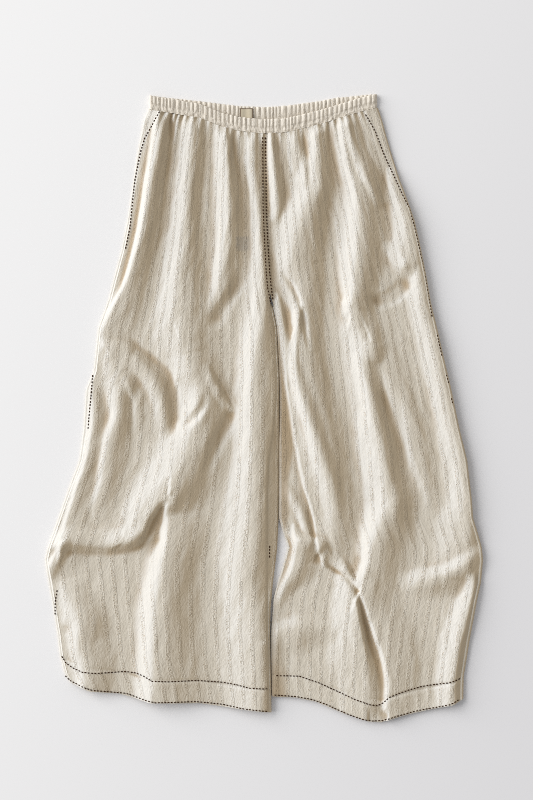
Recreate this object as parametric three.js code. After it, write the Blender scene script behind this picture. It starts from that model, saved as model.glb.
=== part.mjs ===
// Wide-leg pull-on trousers laid flat on a table, front side up.
// Millimetres. X to the right of the picture, Y towards the waist, Z up. Z = 0 is the table.
// "left" and "right" are the sides of the picture; the person wearing them would say the opposite.
// Nothing here is made by booleans: every piece is a sheet of cloth with an outer face,
// an inner face and a closed rim between them.

import { Box3, BufferGeometry, Float32BufferAttribute, Group, Mesh, MeshStandardMaterial, Vector3 } from 'three';

// Sizes that drive the whole garment.
const clothThickness = 1.2;      // one layer of crinkled cotton and linen
const hemThickness = 2.2;        // the hem is turned up, so two layers lie together there
const hemDepth = 33;             // height of the turned-up hem
const seamGap = 0.3;             // clear space between two pieces that are sewn together
const layerGap = 0.4;            // clear space between the front layer and the back layer
const restHeight = 5.6;          // top of the front layer where no fold lifts it
const rollRadius = 3.5;          // half width of the roll where the cloth turns round an edge
const leastReach = 2.6;          // an edge's seam lies at least this far in from the outline
const rollLead = 0.6;            // the turned cloth lies flat for at least this width at its seam
const edgeCalm = 14;             // folds settle to their height at an outline over this distance
const innerLift = 0.3;           // share of a fold's height that is left at an inner outline
const steepestWall = 2.6;        // vertical wall height allowed on the flank of a fold

const waistY = 412.5;            // waistband seam at the centre front
const hemY = -445;               // mean level of the two hems
const crotchY = 162;             // the two legs part below this level
const crotchBlend = 14;          // half height of the region where they part

const bandDepth = 21.5;          // height of the gathered waistband
const bandThickness = 2.6;       // two layers of cloth with elastic between them
const bandTop = 7.6;             // mean height of the top of the band's front half
const ruffleRise = 0.8;          // height of one ruffle of the band's front half
const backSwell = 0.2;           // thickening of each ruffle of the back half, which lies flat
const frontRuffles = 50;
const backRuffles = 26;

const gathersPerLeg = 16;        // gathers sewn into the band on each front panel
const gatherRise = 2.2;
const gatherReach = 30;          // gathers die out over this distance below the band

const frontColumns = 2 * gathersPerLeg;
const backFlatColumns = 4;
const rollColumns = 4;

// Rows of the leg panels, closer together where the cloth changes quickly.
const rowBands = [
  { from: waistY, to: 385, rows: 3 },
  { from: 385, to: -178, rows: 19 },
  { from: -178, to: -262, rows: 7 },
  { from: -262, to: hemY, rows: 6 },
];

// Each row gives, at one level: the outline, the side seam on the front face, the inseam on the
// front face and the inner outline.
const leftSections = [
  { y: 449, side: -170, sideSeam: -156, inseam: 0.6, inner: 0.6 },
  { y: 430, side: -178, sideSeam: -163, inseam: 0.8, inner: 0.8 },
  { y: 386, side: -187, sideSeam: -181, inseam: 1, inner: 1 },
  { y: 326, side: -196, sideSeam: -191, inseam: 2, inner: 2 },
  { y: 281, side: -203, sideSeam: -198, inseam: 3, inner: 3 },
  { y: 236, side: -212, sideSeam: -207, inseam: 5, inner: 5 },
  { y: 191, side: -224, sideSeam: -219, inseam: 8, inner: 8 },
  { y: 160, side: -232, sideSeam: -227, inseam: 13, inner: 13 },
  { y: 119, side: -247, sideSeam: -242, inseam: 19, inner: 21.5 },
  { y: 79, side: -251, sideSeam: -246, inseam: 20, inner: 23 },
  { y: 53, side: -254, sideSeam: -249, inseam: 22, inner: 24.4 },
  { y: 28, side: -265, sideSeam: -258, inseam: 22.6, inner: 25 },
  { y: -34, side: -269, sideSeam: -262, inseam: 17, inner: 25 },
  { y: -79, side: -275, sideSeam: -270, inseam: 10, inner: 24.5 },
  { y: -124, side: -292, sideSeam: -287, inseam: 8, inner: 24.5 },
  { y: -169, side: -308, sideSeam: -303, inseam: 8, inner: 24 },
  { y: -211, side: -323, sideSeam: -318, inseam: 8, inner: 22 },
  { y: -229, side: -327, sideSeam: -322, inseam: 8, inner: 20 },
  { y: -259, side: -322, sideSeam: -316, inseam: 8, inner: 16 },
  { y: -304, side: -314, sideSeam: -309, inseam: 8, inner: 12 },
  { y: -341, side: -308, sideSeam: -303, inseam: 9, inner: 11.5 },
  { y: -374, side: -304, sideSeam: -299, inseam: 9.6, inner: 12 },
  { y: -398, side: -298, sideSeam: -293, inseam: 10, inner: 12.5 },
  { y: -412, side: -290, sideSeam: -285, inseam: 10.5, inner: 13 },
  { y: -457, side: -276, sideSeam: -271, inseam: 11, inner: 13.5 },
];

const rightSections = [
  { y: 449, side: 172, sideSeam: 154, inseam: 1.2, inner: 1.2 },
  { y: 430, side: 179, sideSeam: 161, inseam: 1.4, inner: 1.4 },
  { y: 386, side: 192, sideSeam: 180, inseam: 1.6, inner: 1.6 },
  { y: 344, side: 205, sideSeam: 197, inseam: 2.4, inner: 2.4 },
  { y: 326, side: 212, sideSeam: 205, inseam: 2.6, inner: 2.6 },
  { y: 281, side: 228, sideSeam: 223, inseam: 3.6, inner: 3.6 },
  { y: 236, side: 238, sideSeam: 233, inseam: 5.6, inner: 5.6 },
  { y: 191, side: 247, sideSeam: 242, inseam: 8.6, inner: 8.6 },
  { y: 160, side: 252, sideSeam: 247, inseam: 13.8, inner: 13.8 },
  { y: 119, side: 262, sideSeam: 257, inseam: 26, inner: 22.6 },
  { y: 79, side: 271, sideSeam: 266, inseam: 28, inner: 24.4 },
  { y: 28, side: 283, sideSeam: 278, inseam: 30, inner: 26.4 },
  { y: -34, side: 296, sideSeam: 291, inseam: 30, inner: 26.4 },
  { y: -79, side: 307, sideSeam: 302, inseam: 30, inner: 26 },
  { y: -139, side: 314, sideSeam: 309, inseam: 30, inner: 25.8 },
  { y: -166, side: 316, sideSeam: 311, inseam: 30, inner: 26.2 },
  { y: -188, side: 323, sideSeam: 318, inseam: 34, inner: 31 },
  { y: -209, side: 329, sideSeam: 324, inseam: 41, inner: 38 },
  { y: -229, side: 331, sideSeam: 326, inseam: 36, inner: 33 },
  { y: -262, side: 328, sideSeam: 323, inseam: 26, inner: 23 },
  { y: -289, side: 322, sideSeam: 317, inseam: 19, inner: 16 },
  { y: -349, side: 311, sideSeam: 306, inseam: 16.4, inner: 13.8 },
  { y: -406, side: 302, sideSeam: 297, inseam: 16.8, inner: 14.2 },
  { y: -473, side: 301, sideSeam: 296, inseam: 17.4, inner: 14.8 },
];

// Lower edge of each leg.
const leftHem = [
  { x: -290, y: -412 }, { x: -259, y: -425 }, { x: -214, y: -429 }, { x: -169, y: -442 },
  { x: -94, y: -443 }, { x: -34, y: -452 }, { x: 13, y: -457 },
];
const rightHem = [
  { x: 13, y: -433 }, { x: 50, y: -435 }, { x: 80, y: -441 }, { x: 120, y: -458 },
  { x: 160, y: -471 }, { x: 178, y: -472 }, { x: 210, y: -462 }, { x: 250, y: -453 },
  { x: 285, y: -446 }, { x: 301, y: -437 },
];

// Upper edges of the waistband, front half and back half.
const bandFrontEdge = [
  { x: -172, y: 469 }, { x: -150, y: 465 }, { x: -95, y: 456 }, { x: -62, y: 443 },
  { x: -34, y: 436 }, { x: 0, y: 432.5 }, { x: 34, y: 434 }, { x: 60, y: 440 },
  { x: 85, y: 446 }, { x: 111, y: 454 }, { x: 150, y: 466 }, { x: 174, y: 471 },
];
const bandBackEdge = [
  { x: -172, y: 469 }, { x: -150, y: 466 }, { x: -95, y: 460 }, { x: -39, y: 453 },
  { x: 3, y: 451 }, { x: 34, y: 453 }, { x: 85, y: 460 }, { x: 111, y: 465 },
  { x: 150, y: 469 }, { x: 174, y: 471 },
];

// A fold is a ridge along a curve through three points. Walking from "from" to "to", it falls
// away over "onRight" and "onLeft", and fades in and out over the given shares of its length.
const folds = [
  { name: 'left side drape', from: [-156, 442], by: [-178, 300], to: [-238, 128], rise: 11, onRight: 13, onLeft: 38, fadeIn: 0.05, fadeOut: 0.3 },
  { name: 'left hip', from: [-100, 440], by: [-114, 275], to: [-118, 105], rise: 11, onRight: 32, onLeft: 30, fadeIn: 0.05, fadeOut: 0.3 },
  { name: 'left thigh', from: [-54, 432], by: [-53, 290], to: [-76, 138], rise: 11, onRight: 26, onLeft: 28, fadeIn: 0.05, fadeOut: 0.35 },
  { name: 'left of the front seam', from: [-15, 430], by: [-9, 320], to: [2, 200], rise: 6, onRight: 16, onLeft: 14, fadeIn: 0.05, fadeOut: 0.3 },
  { name: 'left inner edge, upper', from: [2, 215], by: [3, 100], to: [-4, -20], rise: 11, onRight: 40, onLeft: 16, fadeIn: 0.35, fadeOut: 0.4 },
  { name: 'left inner edge, lower', from: [-2, 15], by: [-9, -245], to: [1, -470], rise: 12, onRight: 60, onLeft: 14, fadeIn: 0.15, fadeOut: 0 },
  { name: 'left knee arch', from: [-238, 118], by: [-168, 78], to: [-130, -20], rise: 7, onRight: 24, onLeft: 18, fadeIn: 0.2, fadeOut: 0.3 },
  { name: 'left knee bend', from: [-112, 78], by: [-92, 10], to: [-106, -60], rise: 12, onRight: 42, onLeft: 48, fadeIn: 0.25, fadeOut: 0.15 },
  { name: 'left knee fall', from: [-101, -45], by: [-137, -118], to: [-225, -200], rise: 12, onRight: 58, onLeft: 46, fadeIn: 0.2, fadeOut: 0.35 },
  { name: 'left outer knee', from: [-225, 75], by: [-213, 0], to: [-248, -145], rise: 8, onRight: 26, onLeft: 42, fadeIn: 0.2, fadeOut: 0.4 },
  { name: 'left side, lower', from: [-252, -30], by: [-277, -115], to: [-302, -200], rise: 5, onRight: 10, onLeft: 28, fadeIn: 0.3, fadeOut: 0.1 },
  { name: 'left tuck', from: [-152, -162], by: [-215, -207], to: [-318, -203], rise: 6, onRight: 30, onLeft: 24, fadeIn: 0.2, fadeOut: 0 },
  { name: 'left shin', from: [-142, -150], by: [-149, -280], to: [-163, -470], rise: 14, onRight: 48, onLeft: 66, fadeIn: 0.3, fadeOut: 0 },
  { name: 'left ankle', from: [-286, -258], by: [-270, -350], to: [-268, -450], rise: 8, onRight: 24, onLeft: 54, fadeIn: 0.3, fadeOut: 0 },
  { name: 'right of the front seam', from: [14, 430], by: [20, 350], to: [22, 275], rise: 6, onRight: 13, onLeft: 11, fadeIn: 0.1, fadeOut: 0.3 },
  { name: 'right hip, inner', from: [80, 430], by: [77, 310], to: [50, 135], rise: 11, onRight: 38, onLeft: 42, fadeIn: 0.1, fadeOut: 0.35 },
  { name: 'right hip, outer', from: [120, 440], by: [143, 300], to: [133, 148], rise: 13, onRight: 30, onLeft: 38, fadeIn: 0.1, fadeOut: 0.12 },
  { name: 'right side, upper', from: [192, 352], by: [224, 245], to: [236, 172], rise: 9, onRight: 34, onLeft: 12, fadeIn: 0.3, fadeOut: 0.1 },
  { name: 'right side, middle', from: [236, 172], by: [278, 20], to: [306, -178], rise: 10, onRight: 36, onLeft: 12, fadeIn: 0.1, fadeOut: 0.2 },
  { name: 'right rib', from: [165, 98], by: [211, 0], to: [258, -150], rise: 9, onRight: 17, onLeft: 38, fadeIn: 0.3, fadeOut: 0.4 },
  { name: 'right long spur', from: [134, 155], by: [162, 10], to: [193, -148], rise: 14, onRight: 36, onLeft: 32, fadeIn: 0.12, fadeOut: 0.05 },
  { name: 'right spur, lower', from: [193, -146], by: [172, -195], to: [150, -266], rise: 12, onRight: 34, onLeft: 56, fadeIn: 0.1, fadeOut: 0.3 },
  { name: 'right inner edge', from: [60, 132], by: [80, -20], to: [102, -232], rise: 14, onRight: 30, onLeft: 46, fadeIn: 0.25, fadeOut: 0.1 },
  { name: 'right ear', from: [47, -180], by: [48, -232], to: [20, -290], rise: 8, onRight: 12, onLeft: 36, fadeIn: 0.3, fadeOut: 0.4 },
  { name: 'right tuck', from: [328, -222], by: [264, -257], to: [200, -280], rise: 8, onRight: 32, onLeft: 18, fadeIn: 0.05, fadeOut: 0.4 },
  { name: 'right ankle', from: [316, -258], by: [300, -340], to: [286, -455], rise: 10, onRight: 50, onLeft: 12, fadeIn: 0.15, fadeOut: 0 },
  { name: 'right calf', from: [126, -230], by: [139, -320], to: [155, -465], rise: 14, onRight: 68, onLeft: 44, fadeIn: 0.25, fadeOut: 0 },
  { name: 'right calf arch', from: [110, -348], by: [66, -326], to: [24, -348], rise: 5, onRight: 25, onLeft: 14, fadeIn: 0.3, fadeOut: 0.3 },
];

const mix = (a, b, t) => a + (b - a) * t;
const clamp = (value, low, high) => Math.min(high, Math.max(low, value));

function smooth(from, to, value) {
  const t = clamp((value - from) / (to - from), 0, 1);
  return t * t * (3 - 2 * t);
}

// Value of one column of a table at a given place; rows may run up or down.
function along(table, key, column, at) {
  const rising = table[0][key] < table[table.length - 1][key];
  const rows = rising ? table : [...table].reverse();
  if (at <= rows[0][key]) return rows[0][column];
  for (let i = 1; i < rows.length; i += 1) {
    if (at <= rows[i][key]) {
      const share = (at - rows[i - 1][key]) / (rows[i][key] - rows[i - 1][key]);
      return mix(rows[i - 1][column], rows[i][column], share);
    }
  }
  return rows[rows.length - 1][column];
}

const spineSteps = 10;

function spineOf(fold) {
  const bend = [0, 1].map((k) => 2 * fold.by[k] - (fold.from[k] + fold.to[k]) / 2);
  return Array.from({ length: spineSteps + 1 }, (_, i) => {
    const t = i / spineSteps;
    return [0, 1].map((k) => (1 - t) ** 2 * fold.from[k] + 2 * t * (1 - t) * bend[k] + t * t * fold.to[k]);
  });
}

const spines = folds.map(spineOf);

function foldRise(fold, spine, x, y) {
  let nearest = { distance: Infinity, side: 1, share: 0 };
  for (let i = 0; i < spineSteps; i += 1) {
    const [ax, ay] = spine[i];
    const [dx, dy] = [spine[i + 1][0] - ax, spine[i + 1][1] - ay];
    const t = clamp(((x - ax) * dx + (y - ay) * dy) / (dx * dx + dy * dy), 0, 1);
    const [ox, oy] = [x - ax - t * dx, y - ay - t * dy];
    const distance = Math.hypot(ox, oy);
    if (distance < nearest.distance) {
      nearest = { distance, side: Math.sign(ox * dy - oy * dx), share: (i + t) / spineSteps };
    }
  }
  const width = nearest.side > 0 ? fold.onRight : fold.onLeft;
  if (nearest.distance >= width) return 0;
  const fadeIn = fold.fadeIn > 0 ? smooth(0, fold.fadeIn, nearest.share) : 1;
  const fadeOut = fold.fadeOut > 0 ? smooth(0, fold.fadeOut, 1 - nearest.share) : 1;
  return fold.rise * Math.cos((Math.PI / 2) * (nearest.distance / width)) ** 2 * fadeIn * fadeOut;
}

function openingOf(y) {
  return smooth(crotchY + crotchBlend, crotchY - crotchBlend, y);
}

// Height of the top of the cloth above the table.
function reliefOf(leg, x, y) {
  const toSide = Math.abs(along(leg.sections, 'y', 'side', y) - x);
  const toInner = Math.abs(along(leg.sections, 'y', 'inner', y) - x);
  const atSide = mix(leg.edgeLift, 1, smooth(0, edgeCalm, toSide));
  const atInner = mix(1, mix(innerLift, 1, smooth(0, edgeCalm, toInner)), openingOf(y));
  const lift = folds.reduce((sum, fold, i) => sum + foldRise(fold, spines[i], x, y), 0);
  return restHeight + lift * atSide * atInner;
}

function wallHeight(leg, x, y, thickness) {
  const step = 1;
  const slopeX = (reliefOf(leg, x + step, y) - reliefOf(leg, x - step, y)) / (2 * step);
  const slopeY = (reliefOf(leg, x, y + step) - reliefOf(leg, x, y - step)) / (2 * step);
  return Math.min(Math.max(steepestWall, thickness), thickness * Math.hypot(1, slopeX, slopeY));
}

const cream = new MeshStandardMaterial({ name: 'crinkled cotton', color: 0xd9d2c2, roughness: 0.95 });
const labelCloth = new MeshStandardMaterial({ name: 'woven label', color: 0xcfc2a4, roughness: 0.9 });

// Two equal grids of points, the outer face and the inner face, become one closed solid.
// A looped sheet joins its last column to its first.
function closedSheet(name, outer, inner, material, looped = false) {
  const rows = outer.length;
  const columns = outer[0].length;
  const points = [...outer.flat(), ...inner.flat()];
  const at = (face, row, column) => face * rows * columns + row * columns + (column % columns);
  const faces = [];
  const quad = (a, b, c, d) => faces.push([a, b, c], [a, c, d]);
  const spans = looped ? columns : columns - 1;

  for (let column = 0; column < spans; column += 1) {
    for (let row = 0; row < rows - 1; row += 1) {
      quad(at(0, row, column), at(0, row + 1, column), at(0, row + 1, column + 1), at(0, row, column + 1));
      quad(at(1, row, column), at(1, row, column + 1), at(1, row + 1, column + 1), at(1, row + 1, column));
    }
    const last = rows - 1;
    quad(at(0, 0, column), at(0, 0, column + 1), at(1, 0, column + 1), at(1, 0, column));
    quad(at(0, last, column), at(1, last, column), at(1, last, column + 1), at(0, last, column + 1));
  }
  if (!looped) {
    const last = columns - 1;
    for (let row = 0; row < rows - 1; row += 1) {
      quad(at(0, row, 0), at(1, row, 0), at(1, row + 1, 0), at(0, row + 1, 0));
      quad(at(0, row, last), at(0, row + 1, last), at(1, row + 1, last), at(1, row, last));
    }
  }

  const volume = faces.reduce((sum, [a, b, c]) => {
    const [p, q, r] = [points[a], points[b], points[c]];
    return sum + p[0] * (q[1] * r[2] - q[2] * r[1]) - p[1] * (q[0] * r[2] - q[2] * r[0])
      + p[2] * (q[0] * r[1] - q[1] * r[0]);
  }, 0);
  const outward = volume > 0 ? faces : faces.map(([a, b, c]) => [a, c, b]);

  const geometry = new BufferGeometry();
  geometry.setAttribute('position', new Float32BufferAttribute(points.flat(), 3));
  geometry.setIndex(outward.flat());
  geometry.computeVertexNormals();
  const mesh = new Mesh(geometry, material);
  mesh.name = name;
  return mesh;
}

// side is -1 for the leg on the left of the picture and +1 for the one on the right.
// edgeLift is the share of a fold's height that is left at the outline: the cloth stands up along
// the right side of the picture and lies low along the left.
const leftLeg = { side: -1, sections: leftSections, hem: leftHem, edgeLift: 0.3 };
const rightLeg = { side: 1, sections: rightSections, hem: rightHem, edgeLift: 0.8 };

const rowLevels = [waistY, ...rowBands.flatMap(({ from, to, rows }) =>
  Array.from({ length: rows }, (_, i) => mix(from, to, (i + 1) / rows)))];

// The waist and hem curves bend the rows near them and leave the middle rows level.
function levelAt(leg, edge, rowY, x) {
  const share = (waistY - rowY) / (waistY - hemY);
  const topShift = along(edge, 'x', 'y', x) - bandDepth - seamGap - waistY;
  const hemShift = along(leg.hem, 'x', 'y', x) - hemY;
  return rowY + topShift * smooth(1, 0, 2 * share) + hemShift * smooth(0, 1, 2 * share - 1);
}

// Where the inner seam lies on the front face of an open leg.
function inseamOf(leg, y) {
  const inner = along(leg.sections, 'y', 'inner', y);
  const inseam = along(leg.sections, 'y', 'inseam', y);
  return inner + leg.side * Math.max(leastReach, leg.side * (inseam - inner));
}

// Edges of the front panel at one level. Above the crotch the inner one is the centre front seam.
function seamsAt(leg, y) {
  const side = along(leg.sections, 'y', 'sideSeam', y);
  const inner = along(leg.sections, 'y', 'inner', y);
  return { side, inseam: mix(inner, inseamOf(leg, y), openingOf(y)) };
}

// A point of the front layer. The column share runs from the side seam to the inner seam;
// level and place depend on each other, so a few rounds settle both.
function frontPlace(leg, share, rowY) {
  let [x, y] = [0, rowY];
  for (let round = 0; round < 8; round += 1) {
    const seams = seamsAt(leg, y);
    x = mix(seams.side - leg.side * seamGap / 2, seams.inseam + leg.side * seamGap / 2, share);
    y = levelAt(leg, bandFrontEdge, rowY, x);
  }
  return [x, y];
}

function hemWall(leg, x, y) {
  const overHem = y - along(leg.hem, 'x', 'y', x);
  return mix(hemThickness, clothThickness, smooth(hemDepth - 4, hemDepth + 4, overHem));
}

function frontLeg(name, leg) {
  const outer = [];
  const inner = [];
  for (const rowY of rowLevels) {
    const top = [];
    const under = [];
    for (let column = 0; column <= frontColumns; column += 1) {
      const [x, y] = frontPlace(leg, column / frontColumns, rowY);
      const wall = wallHeight(leg, x, y, hemWall(leg, x, y));
      const belowBand = along(bandFrontEdge, 'x', 'y', x) - bandDepth - y;
      const onSeam = column === 0 || column === frontColumns;
      const gather = onSeam ? 0 : gatherRise * Math.exp(-belowBand / gatherReach) * (column % 2 ? 1 : -0.6);
      const z = Math.max(reliefOf(leg, x, y) + gather, clothThickness + layerGap + wall);
      top.push([x, y, z]);
      under.push([x, y, z - wall]);
    }
    outer.push(top);
    inner.push(under);
  }
  return closedSheet(name, outer, inner, cream);
}

// Half turn of the back panel round an outline, from the seam on the front face down to the
// table. Gives [outer point, inner point] pairs in the X-Z plane.
function rollProfile(edgeX, seamX, top, outward) {
  const radius = Math.min(rollRadius, outward * (edgeX - seamX) - rollLead);
  const centreX = edgeX - outward * radius;
  const half = top / 2;
  const wall = clothThickness;
  const turn = Array.from({ length: rollColumns + 1 }, (_, i) => {
    const angle = Math.PI / 2 - (Math.PI * i) / rollColumns;
    return [
      [centreX + outward * radius * Math.cos(angle), half + half * Math.sin(angle)],
      [centreX + outward * (radius - wall) * Math.cos(angle), half + (half - wall) * Math.sin(angle)],
    ];
  });
  return [[[seamX, top], [seamX, top - wall]], ...turn];
}

function backLeg(name, leg) {
  const outer = [];
  const inner = [];
  for (const rowY of rowLevels) {
    const [sideX, sideY] = frontPlace(leg, 0, rowY);
    const [inseamX, inseamY] = frontPlace(leg, 1, rowY);
    const sideEdge = along(leg.sections, 'y', 'side', sideY);
    const innerEdge = along(leg.sections, 'y', 'inner', inseamY);
    const opening = openingOf(inseamY);

    const sideRoll = rollProfile(sideEdge, sideX + leg.side * seamGap, reliefOf(leg, sideX, sideY), leg.side);
    const turnedSeam = inseamOf(leg, inseamY) - (leg.side * seamGap) / 2;
    const innerRoll = rollProfile(innerEdge, turnedSeam, reliefOf(leg, inseamX, inseamY), -leg.side).reverse();
    const flatFrom = sideRoll[sideRoll.length - 1][0][0];
    const flatTo = mix(innerEdge, innerRoll[0][0][0], opening);

    // Above the crotch the inner columns lie flat against the centre back seam.
    const flatShare = (i) => i / (backFlatColumns + innerRoll.length - 1);
    const flatPair = (x) => [[x, 0], [x, clothThickness]];
    const stations = [
      ...sideRoll,
      ...Array.from({ length: backFlatColumns - 1 }, (_, i) => {
        const closed = mix(flatFrom, innerEdge, flatShare(i + 1));
        const open = mix(flatFrom, flatTo, (i + 1) / backFlatColumns);
        return flatPair(mix(closed, open, opening));
      }),
      ...innerRoll.map((pair, i) => {
        const closed = flatPair(mix(flatFrom, innerEdge, flatShare(i + backFlatColumns)));
        return pair.map((point, face) => point.map((value, k) => mix(closed[face][k], value, opening)));
      }),
    ];

    // The turned-over cloth follows the front edge of the band, the flat cloth the back edge.
    const place = ([x, z], share) => {
      const onTop = clamp((z - clothThickness) / (restHeight - clothThickness), 0, 1);
      const ends = mix(sideY, inseamY, share);
      const front = levelAt(leg, bandFrontEdge, rowY, x);
      const back = levelAt(leg, bandBackEdge, rowY, x);
      const exact = share === 0 || share === 1 ? ends : front;
      return [x, mix(back, exact, onTop), z];
    };
    const last = stations.length - 1;
    outer.push(stations.map(([face], i) => place(face, i / last)));
    inner.push(stations.map(([, face], i) => {
      const [x, , z] = place(face, i / last);
      return [x, place(stations[i][0], i / last)[1], z];
    }));
  }
  return closedSheet(name, outer, inner, cream);
}

const bandEnd = { left: -170, right: 172 };
const bandRoll = 4;

// One ring: the front half lies above the back half, and both ends turn round.
function bandStations() {
  const stations = [];
  const frontFrom = bandEnd.left + bandRoll;
  const frontTo = bandEnd.right - bandRoll;
  const frontSteps = 2 * frontRuffles;
  const backSteps = 2 * backRuffles;
  const middle = bandTop / 2;
  for (let i = 0; i <= frontSteps; i += 1) {
    const inside = i > 0 && i < frontSteps;
    const ruffle = inside ? ruffleRise * (i % 2 ? 1 : -1) : 0;
    stations.push({ x: mix(frontFrom, frontTo, i / frontSteps), z: bandTop + ruffle, inX: 0, inZ: -1, edge: 1 });
  }
  for (let i = 1; i < 4; i += 1) {
    const angle = Math.PI / 2 - (Math.PI * i) / 4;
    stations.push({
      x: frontTo + bandRoll * Math.cos(angle), z: middle + middle * Math.sin(angle),
      inX: -Math.cos(angle), inZ: -Math.sin(angle), edge: (1 + Math.sin(angle)) / 2,
    });
  }
  for (let i = 0; i <= backSteps; i += 1) {
    const inside = i > 0 && i < backSteps;
    const swell = inside && i % 2 === 0 ? backSwell : 0;
    stations.push({ x: mix(frontTo, frontFrom, i / backSteps), z: 0, inX: 0, inZ: 1, edge: 0, swell });
  }
  for (let i = 1; i < 4; i += 1) {
    const angle = -Math.PI / 2 + (Math.PI * i) / 4;
    stations.push({
      x: frontFrom - bandRoll * Math.cos(angle), z: middle + middle * Math.sin(angle),
      inX: Math.cos(angle), inZ: -Math.sin(angle), edge: (1 + Math.sin(angle)) / 2,
    });
  }
  return stations;
}

function waistband() {
  const heights = [1, 0.72, 0.22, 0];
  const stations = bandStations();
  const face = (depth) => heights.map((height) => stations.map(({ x, z, inX, inZ, edge, swell = 0 }) => {
    const front = along(bandFrontEdge, 'x', 'y', x);
    const back = along(bandBackEdge, 'x', 'y', x);
    const y = mix(back, front, edge) - bandDepth * (1 - height);
    const inset = depth * (bandThickness + swell);
    return [x + inX * inset, y, z + inZ * inset];
  }));
  return closedSheet('waistband', face(0), face(1), cream, true);
}

const label = { left: -34, right: -14, low: 432.5, high: 449, thickness: 0.6 };

// Blank woven label, sewn to the inside of the back half of the band.
function waistLabel() {
  const under = bandThickness + backSwell + seamGap;
  const face = (z) => [label.high, label.low].map((y) => [label.left, label.right].map((x) => [x, y, z]));
  return closedSheet('waist_label', face(under + label.thickness), face(under), labelCloth);
}

const trousers = new Group();
trousers.name = 'wide_leg_trousers';
trousers.add(
  frontLeg('front_leg_left', leftLeg),
  frontLeg('front_leg_right', rightLeg),
  backLeg('back_leg_left', leftLeg),
  backLeg('back_leg_right', rightLeg),
  waistband(),
  waistLabel(),
);

// The origin is the middle of the whole garment's footprint, on the table.
const middle = new Box3().setFromObject(trousers).getCenter(new Vector3());
trousers.position.set(-middle.x, -middle.y, 0);

export default trousers;
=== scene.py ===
import math
from collections import namedtuple

import bmesh
import bpy
import numpy as np
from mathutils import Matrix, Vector


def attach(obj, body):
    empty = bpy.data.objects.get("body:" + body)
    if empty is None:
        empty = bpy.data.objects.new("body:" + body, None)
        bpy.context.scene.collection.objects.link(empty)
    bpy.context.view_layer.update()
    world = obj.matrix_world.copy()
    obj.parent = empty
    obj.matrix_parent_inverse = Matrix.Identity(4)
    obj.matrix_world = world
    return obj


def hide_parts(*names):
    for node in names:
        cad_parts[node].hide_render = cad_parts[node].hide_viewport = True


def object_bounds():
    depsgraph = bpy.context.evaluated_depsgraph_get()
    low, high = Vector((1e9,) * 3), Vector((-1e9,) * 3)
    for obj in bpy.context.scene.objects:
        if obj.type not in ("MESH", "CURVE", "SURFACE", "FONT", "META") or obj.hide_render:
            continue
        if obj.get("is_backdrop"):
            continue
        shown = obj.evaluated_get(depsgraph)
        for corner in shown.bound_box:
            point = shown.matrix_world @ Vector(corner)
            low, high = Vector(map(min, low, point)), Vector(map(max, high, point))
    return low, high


# Wide-leg pull-on trousers in crinkled striped cotton, laid flat and seen from above.
# The tables are in millimetres in the picture's plane: x to the right, y towards the waistband,
# z up from the table. Left and right are the sides of the picture.
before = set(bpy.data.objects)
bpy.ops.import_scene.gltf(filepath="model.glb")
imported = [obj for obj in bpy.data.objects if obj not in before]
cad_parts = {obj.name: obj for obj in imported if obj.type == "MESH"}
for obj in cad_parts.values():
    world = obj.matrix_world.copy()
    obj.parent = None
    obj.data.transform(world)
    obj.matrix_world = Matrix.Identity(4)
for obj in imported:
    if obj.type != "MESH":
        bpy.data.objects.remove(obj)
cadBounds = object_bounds()

mm = 0.001
frameShift = (-1.971, 0.537)  # brings the garment's middle to the frame's origin

garment = {
    "clothThickness": 0.9,
    "restHeight": 5.6,  # of the front's upper face where there is no fold
    "leastHeight": 2.9,  # no crease goes lower
    "leastSharpness": 1.4,
    "rollRadius": 3.5,  # of the turn round an outline
    "rollLead": 0.6,
    "leastReach": 2.6,  # from an inner edge to its seam
    "edgeCalm": 12.0,
    "calmDetail": 0.4,
    "stripDrop": 0.4,
    "stripWidths": (4, 12),  # strips narrower than the first don't slope, wider than the second do
    "seamGap": 0.03,
    "sewnLift": 0.35,
    "sewnReach": 16.0,
    "waistY": 412.5,
    "hemY": -445.0,
    "crotchY": 162.0,
    "crotchBlend": 14.0,
    "frontStep": 2.4,
    "backStep": 4.5,
    "backHeight": 1.2,
    "flatColumns": 26,
    "turnColumns": 13,
    "clothSpan": 300.0,  # width of a leg along the cloth
}

hem = {"depth": 33.0, "step": 0.7, "stepFrom": 1.0, "stepTo": -1.5, "dent": 0.9, "dentWidth": 2.0}

band = {
    "depth": 21.5,
    "thickness": 2.2,
    "top": 7.4,
    "left": -170.0,
    "right": 172.0,
    "roll": 4.0,
    "rufflePitch": 6.7,
    "ruffleRise": 2.0,
    "ruffleSway": 0.55,
    "swaySize": 17,
    "crest": (0.85, 0.35),  # its mean height, and how far it varies
    "crestSize": 9,
    "sharpness": 0.75,
    "edgeRise": 0.9,
    "upperStitches": 0.41,  # the two rows, as shares of the band's depth
    "lowerStitches": 0.06,
    "stitchWidth": 0.04,
    "pinch": 0.6,
    "lumpRise": 0.75,
    "lumpWidth": 2.3,
    "lumpSlant": 9.0,
    "lumpRows": 6.5,
    "columnStep": 0.85,
    "grainStretch": 1.7,
}

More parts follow.
